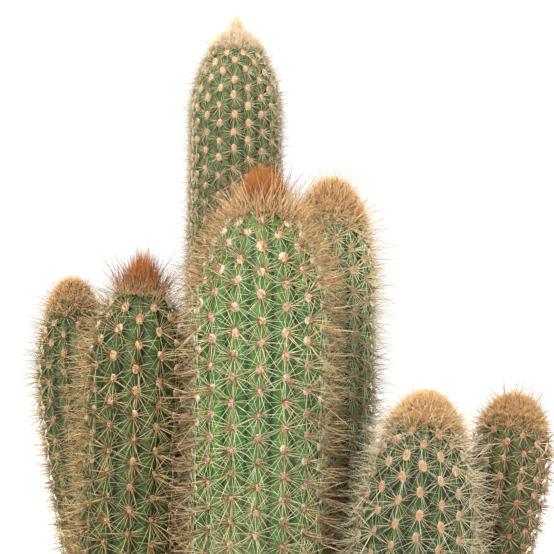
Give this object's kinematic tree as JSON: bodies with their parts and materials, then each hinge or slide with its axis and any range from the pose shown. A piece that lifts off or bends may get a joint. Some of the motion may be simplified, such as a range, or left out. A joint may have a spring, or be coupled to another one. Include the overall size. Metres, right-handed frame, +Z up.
{
  "type": "potted tall cactus",
  "caption": "Clump of upright ribbed cactus stems of different heights, each capped with a tuft of spines and wool, rooted in gritty soil in a plain round clay pot.",
  "frame": {"origin": "middle of the pot's underside, on the pot's axis", "axes": "+Z up along the pot's axis; -Y is the side that the plant is seen from, and +X is to the right from there"},
  "size_m": [0.268, 0.268, 0.5342],
  "materials": {
    "clay": "matte",
    "earth": "matte",
    "skin_main": "satin",
    "skin_tall_back": "satin",
    "skin_back_right": "satin",
    "skin_left": "satin",
    "skin_far_left": "satin",
    "skin_right": "satin",
    "skin_far_right": "satin",
    "spines_main": "matte",
    "spines_tall_back": "matte",
    "spines_back_right": "matte",
    "spines_left": "matte",
    "spines_far_left": "matte",
    "spines_right": "matte",
    "spines_far_right": "matte"
  },
  "bodies": {
    "root": {"pot": "clay", "soil": "earth", "stem_main": "skin_main", "stem_tall_back": "skin_tall_back", "stem_back_right": "skin_back_right", "stem_left": "skin_left", "stem_far_left": "skin_far_left", "stem_right": "skin_right", "stem_far_right": "skin_far_right", "crown_main": "spines_main", "crown_tall_back": "spines_tall_back", "crown_back_right": "spines_back_right", "crown_left": "spines_left", "crown_far_left": "spines_far_left", "crown_right": "spines_right", "crown_far_right": "spines_far_right"}
  },
  "joints": []
}
